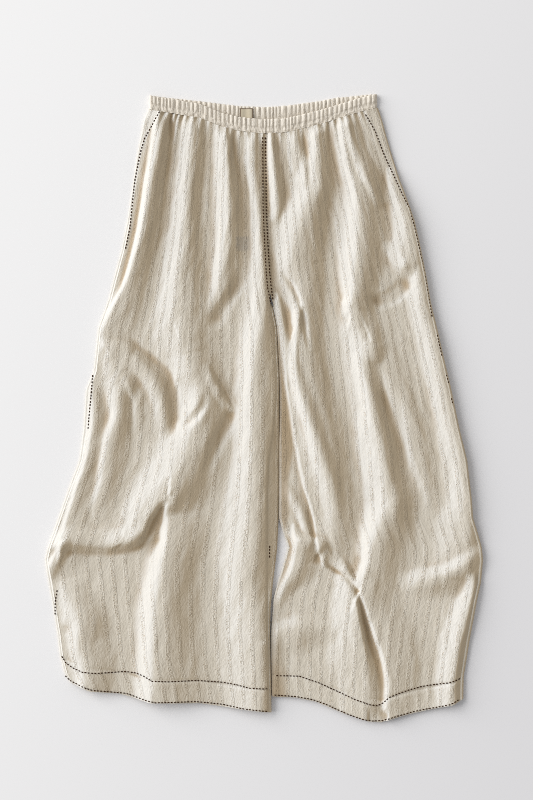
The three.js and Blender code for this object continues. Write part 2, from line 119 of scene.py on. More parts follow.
# Each leg's outline and seams from the waist down, as x at a height y.
sectionColumns = ("y", "side", "sideSeam", "inseam", "inner")
leftSections = [
    (449, -170, -156, 0.6, 0.6), (430, -178, -163, 0.8, 0.8), (386, -187, -181, 1, 1),
    (326, -196, -191, 2, 2), (281, -203, -198, 3, 3), (236, -212, -207, 5, 5), (191, -224, -219, 8, 8),
    (160, -232, -227, 13, 13), (119, -247, -242, 19, 21.5), (79, -251, -246, 20, 23),
    (53, -254, -249, 22, 24.4), (28, -265, -258, 22.6, 25), (-34, -269, -262, 17, 25),
    (-79, -275, -270, 10, 24.5), (-124, -292, -287, 8, 24.5), (-169, -308, -303, 8, 24),
    (-211, -323, -318, 8, 22), (-229, -327, -322, 8, 20), (-259, -322, -316, 8, 16),
    (-304, -314, -309, 8, 12), (-341, -308, -303, 9, 11.5), (-374, -304, -299, 9.6, 12),
    (-398, -298, -293, 10, 12.5), (-412, -290, -285, 10.5, 13), (-457, -276, -271, 11, 13.5),
]
rightSections = [
    (449, 172, 154, 1.2, 1.2), (430, 179, 161, 1.4, 1.4), (386, 192, 180, 1.6, 1.6),
    (344, 205, 197, 2.4, 2.4), (326, 212, 205, 2.6, 2.6), (281, 228, 223, 3.6, 3.6),
    (236, 238, 233, 5.6, 5.6), (191, 247, 242, 8.6, 8.6), (160, 252, 247, 13.8, 13.8),
    (119, 262, 257, 26, 22.6), (79, 271, 266, 28, 24.4), (28, 283, 278, 30, 26.4),
    (-34, 296, 291, 30, 26.4), (-79, 307, 302, 30, 26), (-139, 314, 309, 30, 25.8),
    (-166, 316, 311, 30, 26.2), (-188, 323, 318, 34, 31), (-209, 329, 324, 41, 38),
    (-229, 331, 326, 36, 33), (-262, 328, 323, 26, 23), (-289, 322, 317, 19, 16),
    (-349, 311, 306, 16.4, 13.8), (-406, 302, 297, 16.8, 14.2), (-473, 301, 296, 17.4, 14.8),
]

# How far the inner edge of the leg on the right moves over, until the two legs touch.
closeUp = [
    (449, 0.55), (160, 0.7), (119, 1.0), (79, 1.3), (-139, 1.3), (-166, 1.5), (-186, 0), (-300, 0),
    (-340, 2.0), (-400, 1.2), (-440, 0.8),
]

leftHem = [
    (-290, -412), (-259, -425), (-214, -429), (-169, -442), (-94, -443), (-34, -452), (13, -457),
]
rightHem = [
    (13, -433), (50, -435), (80, -441), (120, -458), (160, -471), (178, -472), (210, -462), (250, -453),
    (285, -446), (301, -437),
]
bandFrontEdge = [
    (-172, 469), (-150, 465), (-95, 456), (-62, 443), (-34, 436), (0, 432.5), (34, 434), (60, 440),
    (85, 446), (111, 454), (150, 466), (174, 471),
]
bandBackEdge = [
    (-172, 469), (-150, 466), (-95, 460), (-39, 453), (3, 451), (34, 453), (85, 460), (111, 465),
    (150, 469), (174, 471),
]

# A fold is a ridge, or a crease where its rise is below zero, along the stations of its row:
# x, y, rise, onRight, onLeft. Seen along the fold, it falls away over onRight and onLeft.
foldSoftness = 0.36
stepsPerStation = 4
folds = {
    "left side drape": [
        (-153, 442, 9, 16, 18), (-156, 400, 13, 18, 22), (-166, 340, 15, 18, 27), (-173, 300, 16, 16, 30),
        (-181, 260, 16, 14, 31), (-192, 220, 15, 12, 35), (-206, 180, 12, 10, 44), (-228, 142, 8, 8, 54),
        (-242, 112, 3, 8, 56)],
    "left gather crease": [
        (-137, 446, -4, 5, 5), (-136, 425, -4, 6, 6), (-136, 398, 0, 6, 6)],
    "left hip": [
        (-100, 438, 6, 22, 18), (-106, 380, 9, 27, 24), (-113, 310, 10, 27, 28), (-115, 250, 10, 34, 32),
        (-121, 200, 11, 38, 42), (-120, 150, 12, 50, 60), (-118, 110, 9, 60, 68), (-112, 80, 5, 60, 64)],
    "left thigh": [
        (-55, 432, 7, 22, 10), (-54, 400, 9, 24, 12), (-53, 370, 11, 26, 16), (-51, 330, 12, 28, 23),
        (-50, 290, 12, 28, 25), (-53, 240, 11, 26, 30), (-64, 185, 8, 20, 36), (-76, 135, 0, 12, 40)],
    "left inner ridge": [
        (-15, 430, 4, 10, 14), (-15, 370, 6, 15, 18), (-9, 320, 6, 13, 16), (-3, 260, 7, 18, 13),
        (1, 200, 8, 26, 14), (2, 150, 10, 36, 18), (-4, 105, 12, 36, 34), (-10, 65, 14, 34, 50),
        (-12, 5, 14, 34, 54), (-12, -55, 14, 38, 54), (-12, -115, 14, 48, 50), (-14, -175, 14, 58, 48),
        (-20, -235, 14, 58, 52), (-20, -268, 13, 54, 50), (-12, -300, 13, 58, 44), (-7, -340, 13, 66, 38),
        (-4, -400, 11, 68, 32), (-6, -470, 9, 56, 30)],
    "left crook": [
        (-30, 205, 0, 12, 12), (-38, 182, -2.5, 14, 14), (-52, 160, -3.5, 15, 15), (-66, 136, -3, 15, 15),
        (-75, 116, 0, 14, 14)],
    "left knee sweep": [
        (-118, 90, 4, 34, 50), (-103, 55, 10, 40, 46), (-93, 28, 12, 40, 44), (-92, 5, 13, 38, 48),
        (-98, -22, 14, 34, 54), (-104, -55, 15, 56, 60), (-117, -85, 16, 62, 64),
        (-137, -115, 16, 58, 66), (-158, -143, 15, 54, 30), (-174, -168, 12, 50, 20),
        (-186, -186, 9, 44, 18), (-205, -200, 4, 40, 14)],
    "left outer knee": [
        (-226, 70, 3, 20, 40), (-212, 40, 6, 36, 26), (-214, 15, 8, 28, 24), (-217, -15, 9, 22, 28),
        (-228, -45, 9, 18, 36), (-235, -80, 8, 16, 42), (-240, -115, 5, 16, 36), (-250, -150, 2, 14, 30)],
    "left knee arch": [
        (-244, 96, 1, 18, 12), (-222, 88, 4, 24, 18), (-200, 78, 5, 26, 22), (-178, 58, 6, 26, 22),
        (-160, 32, 6, 22, 20), (-150, 4, 5, 20, 16), (-147, -22, 3, 18, 13), (-148, -48, 0, 16, 10)],
    "left hook": [
        (-84, 66, 0, 16, 6), (-74, 44, 4, 16, 7), (-62, 22, 5, 14, 7), (-50, 2, 5, 12, 6),
        (-44, -8, 0, 8, 5)],
    "left dent": [
        (-118, -30, 0, 9, 9), (-110, -22, -3.5, 10, 10), (-98, -11, -4, 10, 11), (-88, 3, -3.5, 9, 11),
        (-86, 22, 0, 9, 9)],
    "left side, lower": [
        (-254, 22, 2, 10, 16), (-252, -5, 4, 10, 22), (-256, -45, 5, 10, 24), (-266, -85, 5, 8, 24),
        (-276, -115, 5, 8, 28), (-285, -145, 5, 8, 34), (-294, -175, 5, 10, 50), (-302, -205, 5, 12, 48)],
    "left tuck": [
        (-160, -172, 0, 12, 8), (-172, -192, 5, 20, 11), (-190, -202, 7, 30, 14), (-236, -205, 8, 32, 16),
        (-280, -203, 8, 30, 17), (-300, -203, 8, 26, 18), (-318, -205, 5, 24, 20)],
    "left ankle": [
        (-294, -256, 0, 20, 20), (-288, -284, 6, 24, 42), (-276, -310, 10, 34, 48),
        (-270, -326, 11, 34, 50), (-274, -350, 10, 24, 58), (-266, -378, 9, 28, 58),
        (-264, -415, 11, 20, 52), (-268, -445, 9, 14, 50)],
    "left shin": [
        (-140, -140, 5, 12, 64), (-141, -172, 12, 15, 72), (-142, -200, 15, 20, 70),
        (-145, -230, 16, 34, 66), (-151, -270, 16, 38, 68), (-155, -310, 17, 42, 72),
        (-158, -350, 17, 38, 80), (-160, -400, 16, 38, 92), (-162, -450, 14, 38, 96)],
    "right of the front seam": [
        (13, 430, 4, 8, 8), (14, 395, 6, 8, 10), (16, 365, 7, 12, 15), (21, 335, 8, 16, 14),
        (24, 308, 7, 18, 12), (22, 290, 4, 14, 9), (18, 276, 0, 10, 8)],
    "right hip, inner": [
        (80, 430, 7, 14, 20), (83, 380, 10, 24, 23), (84, 335, 12, 48, 28), (72, 305, 12, 42, 40),
        (60, 275, 12, 48, 52), (51, 245, 11, 38, 58), (48, 215, 10, 34, 60), (58, 185, 8, 34, 50),
        (56, 155, 6, 26, 54), (50, 130, 3, 12, 60)],
    "right hip, small": [
        (42, 424, 4, 14, 9), (52, 395, 5, 22, 14), (60, 360, 4, 24, 12), (64, 330, 0, 20, 10)],
    "right hip, outer": [
        (120, 440, 5, 16, 16), (126, 395, 8, 22, 26), (130, 365, 10, 22, 34), (141, 335, 13, 28, 44),
        (146, 300, 14, 31, 46), (147, 260, 14, 34, 46), (143, 215, 14, 33, 46), (140, 185, 13, 28, 40),
        (135, 158, 10, 22, 44), (133, 148, 6, 20, 40)],
    "right pocket ridge": [
        (124, 436, 3, 10, 14), (134, 405, 4, 14, 24), (146, 378, 6, 16, 28), (154, 352, 7, 14, 28),
        (166, 326, 6, 12, 26), (178, 300, 0, 12, 24)],
    "right side": [
        (194, 352, 3, 12, 24), (200, 325, 7, 20, 28), (212, 300, 9, 28, 28), (220, 275, 10, 34, 28),
        (226, 245, 10, 46, 28), (231, 215, 10, 48, 28), (238, 185, 9, 26, 28), (243, 155, 9, 30, 28),
        (251, 125, 9, 34, 28), (259, 95, 10, 34, 28), (267, 65, 10, 38, 28), (274, 35, 10, 36, 28),
        (281, 5, 10, 36, 28), (288, -25, 10, 36, 28), (296, -55, 10, 38, 28), (302, -85, 10, 38, 28),
        (306, -115, 10, 38, 28), (309, -145, 10, 40, 28), (309, -175, 9, 60, 28), (304, -205, 8, 60, 30),
        (300, -232, 5, 56, 28), (300, -258, 0, 50, 28)],
    "right shelf": [
        (226, 218, 0, 12, 14), (216, 190, -3.5, 16, 16), (198, 168, -4.5, 18, 16), (176, 160, -4, 16, 16),
        (160, 168, 0, 12, 14)],
    "right inner edge": [
        (58, 140, 3, 14, 40), (60, 105, 7, 16, 40), (60, 70, 10, 24, 44), (66, 35, 11, 28, 46),
        (73, 5, 11, 31, 50), (81, -25, 10, 34, 50), (88, -60, 10, 36, 50), (96, -95, 10, 36, 50),
        (103, -125, 9, 34, 52), (107, -160, 8, 28, 44), (106, -190, 6, 28, 40), (102, -215, 3, 20, 34),
        (98, -236, 1, 14, 20)],
    "right inner lip": [
        (22, 160, 3, 5, 16), (27, 116, 6, 5, 18), (33, 71, 6, 5, 20), (38, 26, 6, 5, 30),
        (45, -19, 6, 5, 34), (53, -64, 6, 5, 34), (62, -109, 6, 5, 32), (71, -139, 6, 5, 28),
        (78, -169, 6, 4, 24), (83, -206, 6, 4, 18), (91, -232, 5, 4, 10), (97, -240, 0, 4, 6)],
    "right twin crease": [
        (28, 205, 0, 6, 6), (41, 187, -3, 6, 7), (52, 166, -3.5, 6, 7), (60, 142, -3.5, 6, 7),
        (65, 114, -2.5, 6, 6), (70, 86, 0, 6, 6)],
    "right long spur": [
        (135, 152, 5, 22, 40), (146, 125, 9, 32, 40), (155, 90, 11, 34, 40), (153, 65, 12, 28, 26),
        (158, 35, 13, 27, 25), (164, 5, 14, 29, 27), (170, -25, 15, 36, 30), (178, -55, 15, 40, 30),
        (183, -85, 15, 42, 32), (188, -115, 15, 42, 36), (193, -145, 15, 46, 44), (180, -175, 15, 42, 60),
        (168, -205, 14, 34, 66), (161, -235, 12, 24, 66), (150, -262, 7, 20, 62)],
    "right rib": [
        (165, 95, 3, 16, 56), (178, 65, 6, 20, 52), (193, 35, 6.5, 26, 44), (211, 5, 6, 26, 36),
        (221, -25, 6, 24, 32), (226, -55, 5.5, 18, 33), (234, -85, 5, 18, 31), (246, -115, 3.5, 18, 23),
        (260, -150, 0, 14, 14)],
    "right inner curl": [
        (34, -110, 0, 10, 8), (46, -135, 4, 14, 12), (56, -150, 4, 14, 12), (64, -175, 5, 12, 11),
        (70, -200, 5, 30, 12), (66, -215, 0, 20, 12)],
    "right ear": [
        (47, -178, 3, 4, 6), (50, -200, 6, 10, 20), (48, -235, 9, 14, 46), (33, -265, 6, 8, 20),
        (20, -290, 2, 6, 16)],
    "right calf": [
        (118, -226, 2, 16, 8), (126, -243, 7, 26, 9), (136, -264, 11, 38, 9), (141, -290, 14, 44, 11),
        (145, -320, 15, 56, 13), (149, -350, 14, 66, 16), (154, -378, 11, 70, 20), (157, -402, 8, 66, 26),
        (158, -440, 5, 60, 30)],
    "right lap": [
        (143, -262, 4, 5, 40), (151, -285, 10, 7, 56), (160, -312, 14, 9, 70), (170, -340, 15, 10, 76),
        (179, -365, 14, 10, 78), (187, -392, 12, 12, 74), (190, -418, 9, 12, 62), (188, -450, 6, 12, 52)],
    "right lap groove": [
        (92, -230, 0, 6, 6), (108, -244, -4, 6, 6), (126, -254, -5, 6, 6), (139, -270, -5, 6, 6),
        (146, -292, -5, 7, 7), (153, -322, -5, 8, 8), (161, -350, -4, 8, 8), (170, -378, 0, 7, 7)],
    "right tuck": [
        (330, -214, 3, 16, 26), (305, -236, 7, 22, 34), (280, -250, 9, 24, 36), (250, -258, 9, 26, 34),
        (226, -262, 5, 24, 28), (206, -268, 0, 20, 20)],
    "right ankle": [
        (318, -262, 8, 18, 8), (310, -295, 10, 28, 12), (303, -325, 11, 34, 12), (295, -355, 11, 34, 12),
        (290, -385, 11, 34, 12), (286, -415, 9, 34, 14), (286, -445, 8, 34, 14)],
    "left knee groove": [
        (-206, 112, 0, 14, 10), (-184, 88, -3, 16, 14), (-161, 71, -3.5, 16, 14),
        (-144, 54, -3.5, 15, 14), (-136, 32, -3.5, 14, 13), (-132, 8, -3.5, 12, 12),
        (-132, -22, -2, 10, 10), (-136, -50, 0, 8, 8)],
    "left knee rib": [
        (-208, 52, 0, 9, 12), (-199, 34, 3, 10, 16), (-191, 14, 3.5, 10, 18), (-188, -12, 3, 10, 18),
        (-189, -42, 0, 9, 14)],
    "left knee notch": [
        (-62, 24, 0, 10, 10), (-51, 2, -3, 10, 10), (-50, -16, -4, 14, 12), (-62, -42, -4, 16, 16),
        (-76, -72, -3, 16, 16), (-90, -104, 0, 14, 14)],
    "left tuck end": [
        (-298, -202, 3, 6, 16), (-309, -220, 7, 7, 20), (-319, -240, 6, 7, 20), (-325, -256, 2, 6, 16)],
    "left pocket": [
        (-130, -124, 0, 6, 6), (-147, -146, -3, 8, 8), (-161, -168, -5, 9, 9), (-170, -188, -5, 9, 9),
        (-182, -206, -3, 8, 8), (-196, -212, 0, 8, 8)],
    "right inner rim": [
        (56, 150, 3, 14, 8), (50, 110, 5, 18, 9), (48, 70, 6, 14, 10), (52, 35, 6, 12, 16),
        (60, 5, 6, 16, 22), (72, -25, 6, 18, 20), (84, -60, 6, 22, 20), (94, -92, 5, 24, 20),
        (102, -118, 4, 26, 20), (108, -148, 2, 24, 18), (112, -170, 0, 20, 16)],
    "right second twin": [
        (20, 182, 0, 5, 5), (30, 162, -2, 5, 6), (35, 140, -2.5, 5, 6), (39, 115, -2, 5, 6),
        (43, 90, 0, 5, 5)],
    "right ear fold": [
        (40, -188, 2, 12, 12), (56, -199, 7, 28, 14), (72, -203, 9, 32, 14), (88, -206, 9, 30, 14),
        (96, -212, 4, 20, 10)],
    "right brow": [
        (186, 250, 0, 14, 20), (196, 232, 3, 18, 20), (214, 216, 4, 20, 18), (230, 210, 0, 16, 12)],
    "right hip valley": [
        (98, 330, 0, 20, 20), (101, 280, -3, 26, 20), (103, 230, -4, 30, 20), (104, 180, -4, 34, 20),
        (104, 130, -4, 36, 22), (110, 80, -3.5, 36, 22), (118, 30, -3, 34, 20), (126, -20, -3, 34, 20),
        (132, -70, -3, 36, 22), (138, -120, -3, 36, 22), (138, -160, 0, 30, 22)],
    "right calf arch": [
        (112, -342, 0, 20, 20), (88, -334, 4, 24, 34), (60, -331, 7, 26, 44), (36, -334, 6, 24, 44),
        (18, -342, 3, 18, 36)],
}


def smooth(low, high, value):
    t = np.clip((np.asarray(value, float) - low) / (high - low), 0, 1)
    return t * t * (3 - 2 * t)


def mix(a, b, t):
    return a + (b - a) * t


# The value of a table at a place, which is the first column of its rows.
def along(table, at, column=1):
    rows = sorted(table, key=lambda row: row[0])
    return np.interp(at, [row[0] for row in rows], [row[column] for row in rows])


def edgeOf(leg, name, y):
    at = along(leg["sections"], y, sectionColumns.index(name))
    if leg["side"] > 0 and name in ("inner", "inseam"):
        at = at - along(closeUp, y)
    return at


# Smooth values from -1 to 1 that change over about one unit of x and y.
def latticeNoise(x, y, seed):
    size = 64
    lattice = np.random.RandomState(seed).uniform(-1, 1, (size, size))
    column, row = np.floor(x).astype(int), np.floor(y).astype(int)
    tx, ty = smooth(0, 1, x - column), smooth(0, 1, y - row)
    corner = lambda i, j: lattice[(row + j) % size, (column + i) % size]
    return mix(mix(corner(0, 0), corner(1, 0), tx), mix(corner(0, 1), corner(1, 1), tx), ty)


# Stations joined by a smooth curve. The heights and widths change evenly between them.
def spineOf(stations):
    rows = np.array(stations, float)
    spine = []
    for i in range(len(rows) - 1):
        before, here, there = rows[max(i - 1, 0)], rows[i], rows[i + 1]
        after = rows[min(i + 2, len(rows) - 1)]
        square = 2 * before - 5 * here + 4 * there - after
        cube = 3 * here - before - 3 * there + after
        for t in np.arange(stepsPerStation) / stepsPerStation:
            point = 0.5 * (2 * here + (there - before) * t + square * t ** 2 + cube * t ** 3)
            point[2:] = mix(here[2:], there[2:], t)
            spine.append(point)
    return np.array(spine + [rows[-1]])


def foldRise(stations, x, y):
    spine = spineOf(stations)
    # Steep folds slump.
    spine[:, 2] /= 1 + foldSoftness * np.abs(spine[:, 2]) / spine[:, 3:].min(axis=1)
    reach = spine[:, 3:].max()
    low, high = spine[:, :2].min(0) - reach, spine[:, :2].max(0) + reach
    near = (x > low[0]) & (x < high[0]) & (y > low[1]) & (y < high[1])
    px, py = x[near], y[near]
    best = np.full(px.shape, np.inf)
    rise, width = np.zeros_like(px), np.ones_like(px)
    for here, there in zip(spine[:-1], spine[1:]):
        dx, dy = there[:2] - here[:2]
        t = np.clip(((px - here[0]) * dx + (py - here[1]) * dy) / (dx * dx + dy * dy), 0, 1)
        ox, oy = px - here[0] - t * dx, py - here[1] - t * dy
        distance = np.hypot(ox, oy)
        closer = distance < best
        onRight = ox * dy - oy * dx > 0
        falloff = np.where(onRight, mix(here[3], there[3], t), mix(here[4], there[4], t))
        best = np.where(closer, distance, best)
        rise = np.where(closer, mix(here[2], there[2], t), rise)
        width = np.where(closer, falloff, width)
    lift = np.zeros_like(x)
    lift[near] = rise * np.cos(np.pi / 2 * np.clip(best / width, 0, 1)) ** 2
    return lift


# From 0 above the crotch, where the legs are one, to 1 below it.
def openingOf(y):
    return smooth(-garment["crotchBlend"], garment["crotchBlend"], garment["crotchY"] - y)


def belowBand(x, y):
    return along(bandFrontEdge, x) - band["depth"] - y


def inseamOf(leg, y):
    inner, inseam = edgeOf(leg, "inner", y), edgeOf(leg, "inseam", y)
    side = leg["side"]
    return inner + side * np.maximum(garment["leastReach"], side * (inseam - inner))


# Place across the cloth in millimetres, counted from the inner seam. Gathers crowd it.
def clothAcross(leg, x, y):
    inner, side = edgeOf(leg, "inner", y), edgeOf(leg, "side", y)
    return (x - inner) / (side - inner) * garment["clothSpan"]


# Small creases that run with the grain, finer and flatter than the folds.
Crease = namedtuple("Crease", "depth width length leanAcross leanAlong")
creases = [
    Crease(0.40, 13, 50, 0, 0),
    Crease(0.20, 6.5, 18, 0, 0),
    Crease(0.30, 9, 34, 0.35, -0.2),
]
creaseShift = 40  # sets the two legs' creases apart


def crinkle(leg, x, y):
    across = clothAcross(leg, x, y) + creaseShift * leg["side"]
    return sum(crease.depth * latticeNoise((across + crease.leanAcross * y) / crease.width,
                                           (y + crease.leanAlong * across) / crease.length,
                                           leg["seed"] + i)
               for i, crease in enumerate(creases))


gather = {
    "pitch": 21,
    "sway": 0.45,
    "swaySize": (40, 90),
    "strength": (0.65, 0.5),  # the mean, and how far it varies
    "strengthSize": 26,
    "sharpness": 0.7,
    "depth": 2.7,
    "swell": 1.2,
    "reach": 30,
    "fineRise": 1.1,
    "fineReach": 12,
    "fineRatio": 1.07,
    "fineStart": 1.3,
}


def gathers(leg, x, y):
    below = np.clip(belowBand(x, y), 0, None)
    across = clothAcross(leg, x, y)
    wander = latticeNoise(across / gather["swaySize"][0], y / gather["swaySize"][1], leg["seed"] + 3)
    phase = 2 * np.pi * (across / gather["pitch"] + gather["sway"] * wander)
    unevenness = latticeNoise(across / gather["strengthSize"], np.zeros_like(y), leg["seed"] + 4)
    strength = gather["strength"][0] + gather["strength"][1] * unevenness
    valley = 1 - np.abs(np.cos(phase / 2)) ** gather["sharpness"]
    fading = np.exp(-below / gather["reach"])
    fine = np.cos(gather["fineRatio"] * phase + gather["fineStart"])
    fine = fine * gather["fineRise"] * np.exp(-below / gather["fineReach"])
    return (gather["swell"] - gather["depth"] * valley * strength) * fading + fine


# Height of the cloth's upper face where it lies over the back.
def reliefOf(leg, x, y):
    toSide = np.abs(edgeOf(leg, "side", y) - x)
    toInseam = np.clip(leg["side"] * (x - inseamOf(leg, y)), 0, None)
    atInseam = mix(leg["inseamLift"], 1, smooth(0, leg["inseamCalm"], toInseam))
    calm = mix(leg["edgeLift"], 1, smooth(0, garment["edgeCalm"], toSide))
    calm = calm * mix(1, atInseam, openingOf(y))
    lift = sum(foldRise(stations, x, y) for stations in folds.values())
    # The folds are pressed down where they are sewn to the band.
    lift = lift * mix(garment["sewnLift"], 1, smooth(0, garment["sewnReach"], belowBand(x, y)))
    detail = crinkle(leg, x, y) + gathers(leg, x, y)
    height = garment["restHeight"] + lift * calm + detail * mix(garment["calmDetail"], 1, calm)
    least, sharpness = garment["leastHeight"], garment["leastSharpness"]
    height = least + np.logaddexp(0, (height - least) * sharpness) / sharpness
    overHem = y - along(leg["hem"], x) - hem["depth"]
    step = hem["step"] * smooth(hem["stepFrom"], hem["stepTo"], overHem)
    return height + step - hem["dent"] * np.exp(-(overHem / hem["dentWidth"]) ** 2)


# Height of the visible surface anywhere on a leg, with the turn round its outlines.
def topOf(leg, x, y):
    side, sideSeam = edgeOf(leg, "side", y), edgeOf(leg, "sideSeam", y)
    inner, inseam = edgeOf(leg, "inner", y), inseamOf(leg, y)
    onStrip = np.clip((x - inseam) / (inner - inseam), 0, 1) * (leg["side"] * (x - inseam) < 0)
    wide = smooth(*garment["stripWidths"], np.abs(inner - inseam))
    top = reliefOf(leg, x, y) * (1 - garment["stripDrop"] * onStrip * wide * openingOf(y))
    top = top * (1 - leg["sideDrop"] * np.clip((x - sideSeam) / (side - sideSeam), 0, 1))
    intoRoll = np.clip(1 - np.abs(side - x) / garment["rollRadius"], 0, 1)
    return top * (0.5 + 0.5 * np.sqrt(1 - intoRoll ** 2))


# Rows of cloth follow the band's edge at the waist and the hem's edge at the bottom.
def levelAt(leg, edge, rowY, x):
    share = (garment["waistY"] - rowY) / (garment["waistY"] - garment["hemY"])
    topShift = along(edge, x) - band["depth"] - garment["seamGap"] - garment["waistY"]
    hemShift = along(leg["hem"], x) - garment["hemY"]
    return rowY + topShift * smooth(0, 1, 1 - 2 * share) + hemShift * smooth(0, 1, 2 * share - 1)


# A share of 0 is the side seam, and 1 is the centre seam or the inseam.
def frontPlace(leg, share, rowY):
    halfGap = leg["side"] * garment["seamGap"] / 2
    y = rowY
    for _ in range(8):  # x depends on y and y on x, and eight rounds settle them
        start = edgeOf(leg, "sideSeam", y) - halfGap
        end = mix(edgeOf(leg, "inner", y), inseamOf(leg, y), openingOf(y)) + halfGap
        x = mix(start, end, share)
        y = levelAt(leg, bandFrontEdge, rowY, x)
    return x, y


# Points in metres in the frame, from millimetres in the picture's plane.
def place(x, y, z):
    return np.stack([(x + frameShift[0]) * mm, (y + frameShift[1]) * mm, z * mm], axis=-1)


# Painted shadow that the left leg casts on the leg on the right between the legs: y, how far to the right it
# reaches, its depth, and the width of its edge.
shades = [
    (160, 18, 0, 5), (120, 20, 0.5, 5), (90, 24, 0.9, 5), (50, 31, 1, 5), (0, 40, 1, 5), (-30, 44, 1, 5),
    (-60, 48, 0.9, 5), (-110, 40, 0.75, 5), (-160, 42, 0.7, 5), (-200, 32, 0.6, 5), (-250, 26, 0.45, 8),
    (-320, 26, 0.4, 11), (-370, 31, 0.5, 14), (-400, 36, 0.75, 15), (-440, 40, 0.85, 15),
]

# Painted shade in the folds, and on the strips of cloth between the legs.
hollows = {
    "reach": 13.0,  # how far round a point its neighbours are taken
    "depth": 3.6,
    "besideSide": (3, 14),
    "leftStrip": 0.55,
    "leftStripX": (14, 18),
    "leftStripY": (60, 20),
    "leftStripZ": (0, 3),
    "rightStripX": (40, 20),
}


# Painted shade, from 0 on open cloth to 1 deep in a fold: a darker, warmer colour standing in for the shade
# there and the light coming back through the weave. On the leg on the right it also carries the painted shadow
# of the other leg.
def paintedShadeAt(leg, x, y, z):
    reach = hollows["reach"]
    around = sum(reliefOf(leg, x + reach * math.cos(turn), y + reach * math.sin(turn))
                 for turn in np.arange(8) * math.pi / 4) / 8
    toSide = np.abs(edgeOf(leg, "side", y) - x)
    hollow = np.clip((around - z) / hollows["depth"], 0, 1) * smooth(*hollows["besideSide"], toSide)
    if leg["side"] < 0:
        return hollow
    shadeReach, depth, blur = (along(shades, y, column) for column in (1, 2, 3))
    return np.maximum(hollow, smooth(blur, -blur, x - shadeReach) * depth)


# Painted shade on the back's strips between the legs: the left leg's shadow on the leg on the right, and the
# shade beside the front's edge on the leg on the left.
def paintedShadeOnBack(leg, x, y, z):
    if leg["side"] > 0:
        return smooth(*hollows["rightStripX"], x) * along(shades, y, 2)
    inGap = smooth(*hollows["leftStripX"], x) * smooth(*hollows["leftStripY"], y)
    return hollows["leftStrip"] * openingOf(y) * inGap * smooth(*hollows["leftStripZ"], z)


def addObject(name, data):
    made = bpy.data.objects.new(name, data)
    bpy.context.scene.collection.objects.link(made)
    return made


# A mesh on a grid of points (rows, columns, 3) that carries the cloth's own coordinates, and a third value:
# how much painted shade it gets, or the band's mark.
def gridPiece(name, points, grain, hollow=0.0):
    rows, columns = points.shape[:2]
    work = bmesh.new()
    bmesh.ops.create_grid(work, x_segments=columns - 1, y_segments=rows - 1, size=1)
    mesh = bpy.data.meshes.new(name)
    work.to_mesh(mesh)
    work.free()
    mesh.vertices.foreach_set("co", points.ravel())
    carried = np.empty(points.shape)
    carried[..., :2] = grain
    carried[..., 2] = hollow
    mesh.attributes.new("cloth", "FLOAT_VECTOR", "POINT").data.foreach_set("vector", carried.ravel())
    mesh.update()
    mesh.shade_smooth()
    return addObject(name, mesh)


# The cut edges keep normals of their own, so that the faces beside them stay even.
def thicken(piece, thickness):
    work = bmesh.new()
    work.from_mesh(piece.data)
    for edge in work.edges:
        edge.smooth = not edge.is_boundary
    work.to_mesh(piece.data)
    work.free()
    shell = piece.modifiers.new("shell", "SOLIDIFY")
    shell.thickness = thickness * mm
    shell.offset = -1
    shell.use_rim = True


# Turns the mesh over if most of it faces down.
def faceUp(piece):
    normals = np.empty(len(piece.data.polygons) * 3)
    piece.data.polygons.foreach_get("normal", normals)
    if normals[2::3].sum() < 0:
        piece.data.flip_normals()


def frontPanel(name, leg):
    step = garment["frontStep"]
    columns = int(garment["clothSpan"] / step)
    rows = int((garment["waistY"] - garment["hemY"]) / step)
    share, rowY = np.meshgrid(np.linspace(0, 1, columns + 1),
                              np.linspace(garment["waistY"], garment["hemY"], rows + 1))
    x, y = frontPlace(leg, share, rowY)
    z = reliefOf(leg, x, y)
    grain = np.stack([clothAcross(leg, x, y), y], axis=-1)
    piece = gridPiece(name, place(x, y, z), grain, paintedShadeAt(leg, x, y, z))
    faceUp(piece)
    thicken(piece, garment["clothThickness"])
    return piece


# From a seam on the upper face outwards, over the outline and down to the table.
def turnRound(edge, seam, top, outward, drop):
    radius = np.minimum(garment["rollRadius"], outward * (edge - seam) - garment["rollLead"])
    centre = edge - outward * radius
    half = top * (1 - drop) / 2
    stations = [(mix(seam, centre, s), top * (1 - drop * s)) for s in (0.0, 0.35, 0.7)]
    for angle in np.linspace(math.pi / 2, -math.pi / 2, garment["turnColumns"]):
        stations.append((centre + outward * radius * math.cos(angle), half + half * math.sin(angle)))
    return stations


